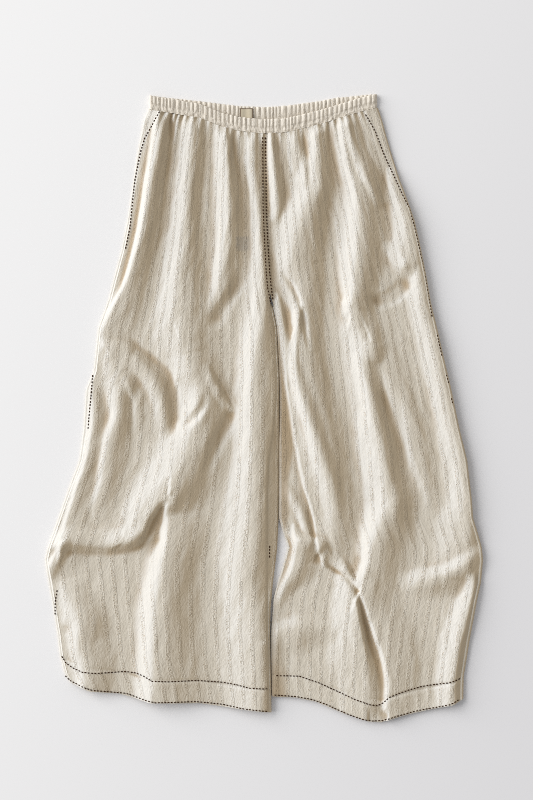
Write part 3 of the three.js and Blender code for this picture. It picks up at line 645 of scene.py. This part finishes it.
# The back lies on the table and turns round both outlines up to the front's seams.
def backPanel(name, leg):
    side, seamGap = leg["side"], garment["seamGap"]
    rows = int((garment["waistY"] - garment["hemY"]) / garment["backStep"])
    rowY = np.linspace(garment["waistY"], garment["hemY"], rows + 1)
    sideX, sideY = frontPlace(leg, np.zeros_like(rowY), rowY)
    inseamX, inseamY = frontPlace(leg, np.ones_like(rowY), rowY)
    opening = openingOf(inseamY)

    sideTurn = turnRound(edgeOf(leg, "side", sideY), sideX + side * seamGap,
                         reliefOf(leg, sideX, sideY), side, leg["sideDrop"])
    innerEdge = edgeOf(leg, "inner", inseamY)
    wide = smooth(*garment["stripWidths"], np.abs(innerEdge - inseamX))
    innerTurn = turnRound(innerEdge, inseamOf(leg, inseamY) - side * seamGap / 2,
                          reliefOf(leg, inseamX, inseamY), -side, garment["stripDrop"] * wide)[::-1]

    # Above the crotch the inner turn is closed up and lies flat.
    flatFrom, flatTo = sideTurn[-1][0], innerTurn[0][0]
    flatCount = garment["flatColumns"]
    closedCount = flatCount + len(innerTurn) - 1
    stations = list(sideTurn)
    for i in range(1, flatCount):
        closed = mix(flatFrom, innerEdge, i / closedCount)
        opened = mix(flatFrom, flatTo, i / flatCount)
        stations.append((mix(closed, opened, opening), np.zeros_like(rowY)))
    for i, (x, z) in enumerate(innerTurn):
        closed = mix(flatFrom, innerEdge, (flatCount + i) / closedCount)
        stations.append((mix(closed, x, opening), z * opening))

    x = np.stack([station[0] for station in stations], axis=1)
    z = np.stack([station[1] for station in stations], axis=1)
    level = np.repeat(rowY[:, None], x.shape[1], axis=1)
    low, high = garment["backHeight"], garment["restHeight"]
    onTop = np.clip((z - low) / (high - low), 0, 1)
    y = mix(levelAt(leg, bandBackEdge, level, x), levelAt(leg, bandFrontEdge, level, x), onTop)
    backShift = 7  # the back's stripes don't continue the front's
    grain = np.stack([clothAcross(leg, x, y) + backShift, y], axis=-1)
    piece = gridPiece(name, place(x, y, z), grain, paintedShadeOnBack(leg, x, y, z))
    # The flat part's outer face looks down at the table.
    faceUp(piece)
    piece.data.flip_normals()
    thicken(piece, garment["clothThickness"])
    return piece


# Height of the band's ruffles, from 0 in a valley to about 1 on a crest.
def ruffleAt(x, seed):
    zero = np.zeros_like(x)
    wander = latticeNoise(x / band["swaySize"], zero, seed)
    phase = np.pi * (x / band["rufflePitch"] + band["ruffleSway"] * wander)
    mean, spread = band["crest"]
    height = mean + spread * latticeNoise(x / band["crestSize"], zero + 0.5, seed + 1)
    return np.abs(np.sin(phase)) ** band["sharpness"] * height


# The first row and column again at the end, so that a grid closes on itself.
def closeGrid(grid):
    grid = np.concatenate([grid, grid[:1]], axis=0)
    return np.concatenate([grid, grid[:, :1]], axis=1)


# One ring of a flat section: the front half lies over the back half.
def waistband():
    roll, middle = band["roll"], band["top"] / 2
    fromX, toX = band["left"] + roll, band["right"] - roll
    count = int((toX - fromX) / band["columnStep"])
    frontX, flat = np.linspace(fromX, toX, count), np.ones(count)
    angles = np.linspace(math.pi / 2, -math.pi / 2, 9)[1:-1]
    back = angles[::-1]
    x = np.concatenate([frontX, toX + roll * np.cos(angles), frontX[::-1], fromX - roll * np.cos(back)])
    upness = np.concatenate([flat, np.sin(angles), -flat, np.sin(back)])
    outX = np.concatenate([0 * flat, np.cos(angles), 0 * flat, -np.cos(back)])
    front = (1 + upness) / 2
    backShift = 211.0  # gives the back half ruffles of its own
    ruffle = ruffleAt(x + np.where(front > 0.5, 0.0, backShift), 5)
    topY = mix(along(bandBackEdge, x), along(bandFrontEdge, x), front) + band["edgeRise"] * (ruffle - 0.5)

    # Round the section: up the outer face, over the top edge and down the inner face.
    outerHeights = [0.0, 0.04, 0.08, 0.12, 0.16, 0.21, 0.26, 0.31, 0.36, 0.41, 0.47, 0.55, 0.66,
                    0.78, 0.9, 0.97]
    innerHeights = [0.99, 0.92, 0.75, 0.5, 0.25, 0.08, 0.0]
    heights = np.array(outerHeights + innerHeights)
    onOuter = np.array([1.0] * len(outerHeights) + [0.0] * len(innerHeights))
    # The ruffles are low in the seam, full above the upper stitches and lower again at the top.
    shirr = (0.25 + 0.75 * smooth(0.28, 0.48, heights)) * (1 - 0.35 * smooth(0.85, 1.0, heights))
    upper, lower = (np.exp(-((heights - band[row]) / band["stitchWidth"]) ** 2)
                    for row in ("upperStitches", "lowerStitches"))
    pinch = upper + 0.8 * lower
    # Below the upper row of stitching the gathered cloth is crumpled into small lumps.
    aslant = x[None, :] + band["lumpSlant"] * heights[:, None]
    level = np.repeat(heights[:, None] * band["lumpRows"], len(x), axis=1)
    lumps = latticeNoise(aslant / band["lumpWidth"], level, 77)
    lumps = lumps * (1 - smooth(0.36, 0.46, heights))[:, None]

    half = band["thickness"] / 2
    edgeRound = np.sqrt(np.clip(1 - np.clip((heights - 0.9) / 0.1, 0, 1) ** 2, 0.05, 1))
    across = (2 * onOuter - 1) * half * edgeRound
    wave = band["ruffleRise"] * ruffle[None, :] * shirr[:, None]
    wave = wave - band["pinch"] * pinch[:, None] + band["lumpRise"] * lumps
    # The back half rests on the table, so its ruffles rise from there.
    lift = np.where(front > 0.5, wave - 0.5 * band["ruffleRise"], 0.0)
    backSwell = np.where(front < 0.5, wave * (1 - onOuter[:, None]), 0.0)
    outward = lift - (half - across)[:, None] - backSwell
    y = topY[None, :] - band["depth"] * (1 - heights[:, None])
    points = place(x[None, :] + outX[None, :] * outward, y,
                   (middle + middle * upness + upness * outward))
    grainX = np.repeat((x * band["grainStretch"])[None, :], len(heights), axis=0)
    grain = np.stack([grainX, y], axis=-1)
    bandMark = -1.0  # tells the cloth's material that this is the band
    piece = gridPiece("waistband_cloth", closeGrid(points), closeGrid(grain), bandMark)
    work = bmesh.new()
    work.from_mesh(piece.data)
    bmesh.ops.remove_doubles(work, verts=work.verts, dist=1e-6)
    bmesh.ops.recalc_face_normals(work, faces=work.faces)
    work.to_mesh(piece.data)
    work.free()
    piece.data.shade_smooth()
    return piece


thread = {
    "pitch": 4.9,
    "length": 3.2,
    "width": 1.8,
    "flatness": 0.8,
    "rise": 0.9,
    "unevenPitch": 0.3,
    "unevenLength": (0.85, 1.1),
    "dark": (0.030, 0.014, 0.007, 1),
    "light": (0.075, 0.038, 0.020, 1),
}

# Rows of running stitches in dark thread: the leg, and points that the row passes.
stitchRows = [
    ("left", [(-154, 444), (-165, 424), (-177, 404), (-183, 384), (-188, 360), (-192, 340), (-196, 300),
        (-199, 270), (-206, 236)]),
    ("left", [(-255, 50), (-257, 20), (-260, -10), (-262, -35)]),
    ("left", [(-308, -273), (-311, -290), (-311.5, -312)]),
    ("right", [(154, 440), (160, 430), (170, 412), (180, 385), (190, 362), (200, 340), (210, 318),
        (220, 298), (228, 268), (236.5, 230), (243, 200), (248, 170), (254, 135)]),
    ("right", [(261, 110), (269, 75)]),
    ("right", [(275, 50), (278, 38)]),
    ("right", [(282.5, 15), (285, 4)]),
    ("left", [(0.2, 406), (0.9, 300), (3.0, 250), (5.4, 205), (7.6, 180), (12.4, 156)]),
    ("right", [(4.4, 406), (5.6, 300), (7.8, 250), (10.6, 205), (12.8, 182), (15.4, 163)]),
    ("left", [(10.8, -206), (10.4, -224)]),
    ("left", [(22.2, -132), (22.6, -146)]),
    ("left", [(-302, -372), (-295, -383), (-285, -390), (-270, -396), (-250, -398), (-205, -396),
        (-190, -398), (-178, -402), (-165, -409), (-140, -410), (-100, -409), (-60, -412), (-40, -415),
        (-20, -420), (0, -421), (9, -421)]),
    ("left", [(-297, -402), (-289, -409.5), (-270, -418), (-255, -423), (-230, -426), (-205, -428.5),
        (-190, -433.5), (-175, -438), (-160, -441), (-100, -440.5), (-60, -445), (-45, -448), (-30, -451),
        (-10, -453), (9, -455)]),
    ("right", [(20, -402), (55, -403), (85, -413), (100, -420), (120, -429), (140, -438), (160, -445),
        (172, -447), (180, -443), (190, -434), (205, -428), (220, -423), (240, -418), (260, -415),
        (280, -412), (299, -405.5)]),
    ("right", [(17, -431), (50, -433.5), (75, -438), (95, -445), (110, -452), (130, -460.5),
        (150, -467.5), (165, -470), (180, -469.5), (200, -463), (220, -457.5), (240, -453), (260, -449.5),
        (280, -445), (297, -436.5)]),
]


# Every stitch is a short rounded bead of thread that follows the cloth under it.
def stitches(legs):
    ball = bmesh.new()
    bmesh.ops.create_uvsphere(ball, u_segments=8, v_segments=6, radius=0.5)
    bead = np.array([vert.co[:] for vert in ball.verts])
    faces = [[vert.index for vert in face.verts] for face in ball.faces]
    ball.free()
    # The bead's poles lie along its length, and its ends are blunt.
    bead = bead[:, [2, 0, 1]]
    bead = np.sign(bead) * 0.5 * (2 * np.abs(bead)) ** 0.7
    shake = np.random.RandomState(21)
    allVerts, allFaces = [], []
    for name, points in stitchRows:
        leg, points = legs[name], np.array(points, float)
        reach = np.concatenate([[0], np.cumsum(np.hypot(*np.diff(points, axis=0).T))])
        at = np.arange(thread["pitch"] / 2, reach[-1], thread["pitch"])
        at = at + shake.uniform(-thread["unevenPitch"], thread["unevenPitch"], len(at))
        ahead = 1.2
        (x, y), (nextX, nextY), (lastX, lastY) = (
            [np.interp(at + shift, reach, points[:, k]) for k in (0, 1)] for shift in (0, ahead, -ahead))
        low, high = topOf(leg, lastX, lastY), topOf(leg, nextX, nextY)
        for i in range(len(at)):
            step = Vector((nextX[i] - lastX[i], nextY[i] - lastY[i], high[i] - low[i])).normalized()
            across = Vector((-step.y, step.x, 0)).normalized()
            upward = step.cross(across)
            length = thread["length"] * shake.uniform(*thread["unevenLength"])
            shape = (bead[:, :1] * length * np.array(step)
                     + bead[:, 1:2] * thread["width"] * np.array(across)
                     + bead[:, 2:3] * thread["width"] * thread["flatness"] * np.array(upward))
            centre = np.array([x[i], y[i], (low[i] + high[i]) / 2 + thread["rise"] * 0.5])
            base = len(allVerts) * len(bead)
            allFaces.extend([[index + base for index in face] for face in faces])
            allVerts.append(shape + centre)
    points = np.concatenate(allVerts)
    mesh = bpy.data.meshes.new("stitches")
    mesh.from_pydata(place(*points.T).tolist(), [], allFaces)
    mesh.shade_smooth()
    return addObject("stitches", mesh)


label = {
    "left": -34.0,
    "right": -14.0,
    "low": 433.0,
    "high": 449.0,
    "height": 5.0,
    "thickness": 0.4,
    "bow": (0.35, 0.3),
    "columns": 24,
    "rows": 20,
    "light": (0.66, 0.59, 0.46, 1),
    "dark": (0.50, 0.43, 0.30, 1),
    "border": (0.10, 0.055, 0.03, 1),
    "borderAt": (7.6, 6.2),  # from the middle
    "borderFade": 0.8,
}


# Blank woven tape, slightly bowed between its two ends.
def waistLabel():
    u, v = np.meshgrid(np.linspace(0, 1, label["columns"]), np.linspace(0, 1, label["rows"]))
    x, y = mix(label["left"], label["right"], u), mix(label["low"], label["high"], v)
    bowX, bowY = label["bow"]
    z = label["height"] + bowX * np.sin(np.pi * u * 3 + 0.4) + bowY * np.sin(np.pi * v)
    piece = gridPiece("label_tape", place(x, y, z), np.stack([x, y], axis=-1))
    faceUp(piece)
    thicken(piece, label["thickness"])
    return piece


def operator(operation, reflected=False):
    def apply(self, other):
        return self.maths(operation, *((other, self) if reflected else (self, other)))
    return apply


# A shader value that can be used in ordinary arithmetic.
class Socket:
    def __init__(self, shader, output):
        self.shader, self.output = shader, output

    def maths(self, operation, *values):
        node = self.shader.add("ShaderNodeMath", {"operation": operation}, dict(enumerate(values)))
        return Socket(self.shader, node.outputs[0])

    __add__ = operator("ADD")
    __radd__ = operator("ADD", reflected=True)
    __sub__ = operator("SUBTRACT")
    __rsub__ = operator("SUBTRACT", reflected=True)
    __mul__ = operator("MULTIPLY")
    __rmul__ = operator("MULTIPLY", reflected=True)
    __truediv__ = operator("DIVIDE")
    __rtruediv__ = operator("DIVIDE", reflected=True)

    def fract(self):
        return self.maths("FRACT", self)

    def floor(self):
        return self.maths("FLOOR", self)

    def absolute(self):
        return self.maths("ABSOLUTE", self)

    def most(self, other):
        return self.maths("MAXIMUM", self, other)

    # From start at low to end at high, with both ends eased.
    def ramp(self, low, high, start=0.0, end=1.0):
        node = self.shader.add("ShaderNodeMapRange", {"interpolation_type": "SMOOTHSTEP"},
                               {0: self, 1: low, 2: high, 3: start, 4: end})
        return Socket(self.shader, node.outputs[0])


class Shader:
    def __init__(self, name):
        self.material = bpy.data.materials.new(name)
        self.material.use_nodes = True
        self.tree = self.material.node_tree
        self.surface = self.tree.nodes["Principled BSDF"]

    def feed(self, slot, value):
        if isinstance(value, Socket):
            self.tree.links.new(value.output, slot)
        else:
            slot.default_value = value

    # Every node is made here: its settings come first, then the values or links of its sockets.
    def add(self, kind, settings, sockets):
        node = self.tree.nodes.new(kind)
        for key, value in settings.items():
            setattr(node, key, value)
        for key, value in sockets.items():
            self.feed(node.inputs[key], value)
        return node

    def finish(self, sockets):
        for key, value in sockets.items():
            self.feed(self.surface.inputs[key], value)
        return self.material

    def onObject(self):
        return Socket(self, self.add("ShaderNodeTexCoord", {}, {}).outputs["Object"])

    def onCloth(self):
        node = self.add("ShaderNodeAttribute", {"attribute_name": "cloth"}, {})
        return Socket(self, node.outputs["Vector"])

    def vector(self, x, y, z=0.0):
        return Socket(self, self.add("ShaderNodeCombineXYZ", {}, {0: x, 1: y, 2: z}).outputs[0])

    def split(self, vector):
        node = self.add("ShaderNodeSeparateXYZ", {}, {0: vector})
        return [Socket(self, output) for output in node.outputs]

    def dot(self, a, b):
        node = self.add("ShaderNodeVectorMath", {"operation": "DOT_PRODUCT"}, {0: a, 1: b})
        return Socket(self, node.outputs["Value"])

    def noise(self, vector, scale=1.0, detail=2.0, roughness=0.5):
        node = self.add("ShaderNodeTexNoise", {}, {
            "Vector": vector, "Scale": scale, "Detail": detail, "Roughness": roughness})
        return Socket(self, node.outputs["Fac"])

    def blend(self, factor, a, b):
        node = self.add("ShaderNodeMix", {"data_type": "RGBA"}, {0: factor, 6: a, 7: b})
        return Socket(self, node.outputs[2])


light = {
    "toSun": (-0.80, 0.34, 0.42),
    "sunAngle": 0.95,
    "sunStrength": 3.45,
    "sunColour": (1.0, 0.985, 0.96),
    "sky": 0.47,
    "skyColour": (0.985, 0.99, 1.0, 1),
}

cloth = {
    "stripePitch": 17.0,
    "sway": 5.0,  # how far the stripes wander, in millimetres
    "beadWidth": 2.7,
    "beadLength": 3.7,
    "unevenness": 0.45,  # of the beads' places
    "rowEdge": (0.22, 0.13),  # from the middle of a stripe, as shares of the pitch
    "beadEdge": (0.80, 0.45),  # from a bead's middle, as shares of its size
    "pinholeEdge": (0.42, 0.16),
    "bead": 0.5,  # heights in the bump
    "pinhole": 0.55,
    "bump": 0.95,
    # Painted light and shade: the cloth's colours when lit, plain and in shade, picked by which way it faces
    # the window.
    "lit": (0.706, 0.690, 0.652, 1),
    "plain": (0.642, 0.590, 0.498, 1),
    "shade": (0.545, 0.440, 0.300, 1),
    "deep": (0.390, 0.285, 0.165, 1),
    "pin": (0.460, 0.330, 0.185, 1),
    "patch": (0.300, 0.285, 0.265, 1),
    "patchAt": (-31.0, 246.0),
    "patchFade": (13.0, 8.0),
    "band": (0.775, 0.710, 0.615, 1),
    "fineTurn": 0.3,  # how far the bump, and not the form, says which way the cloth faces
    "toShade": (0.44, 0.04),  # ranges over which one colour gives way to another
    "toLit": (0.42, 0.74),
    "toDeep": (0.15, 1.0),
    "deepShare": 0.85,
    "bandShare": 0.65,
    "pinShare": 0.45,
    "toneShare": 0.08,
    "patchShare": 0.45,
    "roughness": 0.92,
    "specular": 0.15,
    "sheen": 0.12,
    "sheenRoughness": 0.6,
}

# Finer relief of the cloth: the size of its cells, how they lean, and their height in the bump.
Texture = namedtuple("Texture", "across lengthwise start lean detail roughness height")
textures = {
    "slub": Texture(1.7, 9.0, 0.0, 0.0, 3.0, 0.62, 0.25),
    "slant": Texture(2.4, 8.0, 9.0, 0.45, 2.0, 0.5, 0.65),
    "cross": Texture(3.0, 8.0, 15.0, -0.6, 2.0, 0.5, 0.5),
    "pucker": Texture(9.0, 16.0, 3.0, 0.0, 2.0, 0.5, 1.0),
    "fuzz": Texture(1.1, 1.3, 7.0, 0.0, 2.0, 0.6, 0.12),
}


def clothMaterial():
    shader = Shader("crinkled_cotton")
    x, y, z = [part / mm for part in shader.split(shader.onObject())]
    across, lengthwise, hollow = shader.split(shader.onCloth())
    sway = shader.noise(shader.vector(across * 0.02, lengthwise * 0.02)) - 0.5
    swayed = across + sway * cloth["sway"]

    # Rows of woven beads stand in stripes between smoother, slubbed cloth. They come and go.
    stripe = (swayed / cloth["stripePitch"]).fract()
    present = shader.noise(shader.vector(across / 14.0, lengthwise / 70.0, 2.0)).ramp(0.30, 0.55, 0.35)
    inRow = (stripe - 0.5).absolute().ramp(*cloth["rowEdge"]) * present
    column = swayed / cloth["beadWidth"]
    cell = shader.vector(column, lengthwise / cloth["beadLength"] + column.floor() * 0.5)
    cells = shader.add("ShaderNodeTexVoronoi", {"feature": "F1", "distance": "EUCLIDEAN"},
                       {"Vector": cell, "Scale": 1.0, "Randomness": cloth["unevenness"]})
    toCentre = Socket(shader, cells.outputs["Distance"])
    pinhole = toCentre.ramp(*cloth["pinholeEdge"]) * inRow
    bead = toCentre.ramp(*cloth["beadEdge"]) * inRow
    height = bead * cloth["bead"] - pinhole * cloth["pinhole"]
    for texture in textures.values():
        leaning = shader.vector((across + lengthwise * texture.lean) / texture.across,
                                (lengthwise - across * texture.lean) / texture.lengthwise, texture.start)
        height = height + shader.noise(leaning, 1.0, texture.detail, texture.roughness) * texture.height
    bump = shader.add("ShaderNodeBump", {}, {
        "Strength": cloth["bump"], "Distance": mm, "Height": height})
    normal = Socket(shader, bump.outputs["Normal"])

    # Painted light and shade: cloth turned from the window is painted a darker, warmer colour, standing in for
    # shade and for the light that comes back through the weave, and cloth turned to it a lighter one.
    toSun = Vector(light["toSun"]).normalized()
    smoothNormal = Socket(shader, shader.add("ShaderNodeNewGeometry", {}, {}).outputs["Normal"])
    fineTurn = cloth["fineTurn"]
    turned = shader.dot(smoothNormal, toSun) * (1 - fineTurn) + shader.dot(normal, toSun) * fineTurn
    colour = shader.blend(turned.ramp(*cloth["toShade"]), cloth["plain"], cloth["shade"])
    colour = shader.blend(turned.ramp(*cloth["toLit"]), colour, cloth["lit"])
    # Painted shade deep in the folds and between the legs.
    colour = shader.blend(hollow.ramp(*cloth["toDeep"]) * cloth["deepShare"], colour, cloth["deep"])
    # The band carries -1 here: its shirred cloth is thicker, and it is painted a little lighter, standing in
    # for the light that falls on it.
    colour = shader.blend(hollow.ramp(-0.2, -1.0) * cloth["bandShare"], colour, cloth["band"])
    colour = shader.blend(pinhole * cloth["pinShare"], colour, cloth["pin"])
    tone = shader.noise(shader.vector(across / 2.2, lengthwise / 40.0, 5.0)).ramp(0.3, 0.75)
    colour = shader.blend(tone * cloth["toneShare"], colour, cloth["shade"])

    # A care label inside shows through as a grey patch.
    patch = z.ramp(3.0, 4.0) * cloth["patchShare"]
    for value, centre in zip((x, y), cloth["patchAt"]):
        patch = patch * (value - centre).absolute().ramp(*cloth["patchFade"])
    mottle = shader.noise(shader.vector(across / 2.5, lengthwise / 2.5, 13.0)).ramp(0.35, 0.65, 0.5)
    colour = shader.blend(patch * mottle, colour, cloth["patch"])

    return shader.finish({
        "Base Color": colour, "Normal": normal, "Roughness": cloth["roughness"],
        "Specular IOR Level": cloth["specular"], "Sheen Weight": cloth["sheen"],
        "Sheen Roughness": cloth["sheenRoughness"]})


def threadMaterial():
    shader = Shader("dark_thread")
    twist = shader.noise(shader.onObject(), 900.0)
    colour = shader.blend(twist.ramp(0.35, 0.7), thread["dark"], thread["light"])
    return shader.finish({"Base Color": colour, "Roughness": 1.0, "Specular IOR Level": 0.0})


def labelMaterial():
    shader = Shader("label_weave")
    x, y, _ = shader.split(shader.onCloth())
    middle = ((label["left"] + label["right"]) / 2, (label["low"] + label["high"]) / 2)
    across, upward = ((value - centre).absolute().ramp(reach, reach + label["borderFade"])
                      for value, centre, reach in zip((x, y), middle, label["borderAt"]))
    border = across.most(upward)
    weave = shader.noise(shader.vector(x / 0.5, y / 0.5))
    ground = shader.blend(weave.ramp(0.3, 0.7), label["dark"], label["light"])
    return shader.finish({"Base Color": shader.blend(border * 0.8, ground, label["border"]),
                          "Roughness": 0.85})


floor = {
    "size": 3.0,
    "z": -0.0004,
    "light": (0.988, 0.990, 0.993, 1),
    "dim": (0.71, 0.705, 0.725, 1),
    "fall": (0.68, -0.26),  # the way the light falls off across the table
    "fallReach": 0.75,
}


def floorMaterial():
    shader = Shader("pale_table")
    x, y, _ = shader.split(shader.onObject())
    # Painted light: the table is painted lighter towards the window and dimmer away from it.
    fall = (x * floor["fall"][0] + y * floor["fall"][1]).ramp(-floor["fallReach"], floor["fallReach"])
    colour = shader.blend(fall, floor["light"], floor["dim"])
    return shader.finish({"Base Color": colour, "Roughness": 0.9, "Specular IOR Level": 0.1})


def buildTable():
    work = bmesh.new()
    bmesh.ops.create_grid(work, x_segments=1, y_segments=1, size=floor["size"])
    mesh = bpy.data.meshes.new("table")
    work.to_mesh(mesh)
    work.free()
    table = addObject("table", mesh)
    table.location.z = floor["z"]
    mesh.materials.append(floorMaterial())
    table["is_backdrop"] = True


view = {"centre": (6.0, 11.25), "height": 1200.0, "distance": 3200.0, "sensor": 24}


def buildCamera():
    lens = bpy.data.cameras.new("camera")
    lens.sensor_fit = "VERTICAL"
    lens.sensor_height = view["sensor"]
    lens.lens = view["sensor"] * (view["distance"] - garment["restHeight"]) / view["height"]
    lens.clip_end = 20
    camera = addObject("camera", lens)
    camera.location = place(*view["centre"], view["distance"])
    bpy.context.scene.camera = camera


def buildLight():
    sun = bpy.data.lights.new("window", "SUN")
    sun.energy = light["sunStrength"]
    sun.angle = light["sunAngle"]
    sun.color = light["sunColour"]
    lamp = addObject("window", sun)
    lamp.rotation_euler = Vector(light["toSun"]).to_track_quat("Z", "Y").to_euler()
    world = bpy.data.worlds.new("room")
    world.use_nodes = True
    sky = world.node_tree.nodes["Background"]
    sky.inputs["Color"].default_value = light["skyColour"]
    sky.inputs["Strength"].default_value = light["sky"]
    bpy.context.scene.world = world


def developPicture():
    scene = bpy.context.scene
    scene.cycles.use_denoising = False  # it takes the stitches and the weave for noise
    scene.cycles.filter_width = 0.95
    scene.view_settings.view_transform = "Standard"
    scene.view_settings.look = "None"


buildCamera()
buildLight()
buildTable()
developPicture()
print("stage ready")

# Lifts and drops are shares of the folds' height at an outline or a seam.
legs = {
    "left": {"side": -1, "sections": leftSections, "hem": leftHem, "edgeLift": 0.45, "sideDrop": 0.35,
             "inseamLift": 0.72, "inseamCalm": 3.0, "seed": 31},
    "right": {"side": 1, "sections": rightSections, "hem": rightHem, "edgeLift": 0.85, "sideDrop": 0.0,
              "inseamLift": 0.3, "inseamCalm": 9.0, "seed": 57},
}
crinkled = clothMaterial()
pieces = []
for name, leg in legs.items():
    front = frontPanel(f"front_panel_{name}", leg)
    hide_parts(f"front_leg_{name}")
    back = backPanel(f"back_panel_{name}", leg)
    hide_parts(f"back_leg_{name}")
    pieces += [front, back]
    print("leg ready:", name)

ring = waistband()
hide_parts("waistband")
pieces.append(ring)
for piece in pieces:
    piece.data.materials.append(crinkled)
    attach(piece, "root")
print("waistband ready")

tape = waistLabel()
tape.data.materials.append(labelMaterial())
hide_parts("waist_label")
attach(tape, "root")

seams = stitches(legs)
seams.data.materials.append(threadMaterial())
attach(seams, "root")
print("stitches ready")

sizes = {"cad": [list(corner) for corner in cadBounds], "visual": [list(corner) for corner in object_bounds()]}
